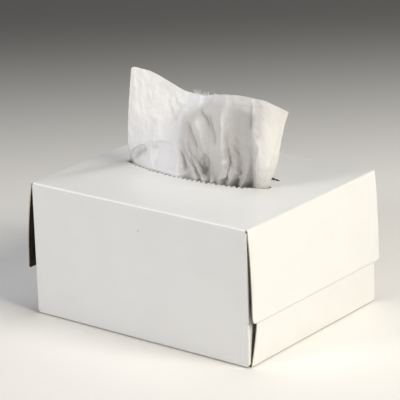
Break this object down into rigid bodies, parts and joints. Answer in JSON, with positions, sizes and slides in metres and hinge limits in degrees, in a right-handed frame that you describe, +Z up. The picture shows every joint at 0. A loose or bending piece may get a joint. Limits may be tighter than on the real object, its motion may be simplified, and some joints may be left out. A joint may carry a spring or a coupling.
{
  "type": "box of lens cleaning tissues",
  "caption": "Plain white folded board box with an oval opening in its top, holding an interfolded pack of lens tissues, one of them pulled up through the opening.",
  "frame": {"origin": "centre of the base, on the surface that the box stands on", "axes": "+X along the box to its right end, +Y to its back, +Z up"},
  "size_m": [0.1331, 0.1024, 0.1154],
  "materials": {
    "board": "white clay-coated carton board, satin outside, brown uncoated inside",
    "packed_tissue": "stacked soft tissue, matt",
    "tissue": "thin crisp tissue, matt and slightly translucent"
  },
  "bodies": {
    "root": {"carton": "board", "tissue_pack": "packed_tissue", "pulled_tissue": "tissue"}
  },
  "joints": []
}
